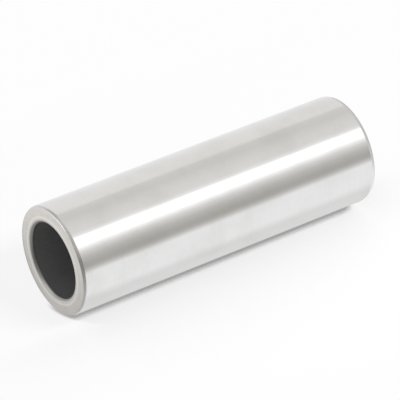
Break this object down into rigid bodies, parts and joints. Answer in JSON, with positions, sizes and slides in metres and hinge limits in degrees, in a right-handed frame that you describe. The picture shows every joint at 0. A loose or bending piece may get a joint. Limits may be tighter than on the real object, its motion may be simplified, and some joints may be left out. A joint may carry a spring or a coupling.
{
  "type": "gudgeon pin",
  "caption": "Hollow ground steel gudgeon pin with a straight through bore and chamfered ends, joining a small engine's piston to its connecting rod.",
  "frame": {"origin": "middle of the lower end face, where the pin's axis meets the surface it stands on", "axes": "+Z along the pin's axis, from the lower end face to the upper one; X and Y are any two square directions across the pin"},
  "size_m": [0.022, 0.022, 0.068],
  "materials": {
    "ground_steel": "ground and polished steel, faced ends, darker drawn bore"
  },
  "bodies": {
    "root": {"gudgeon_pin": "ground_steel"}
  },
  "joints": []
}
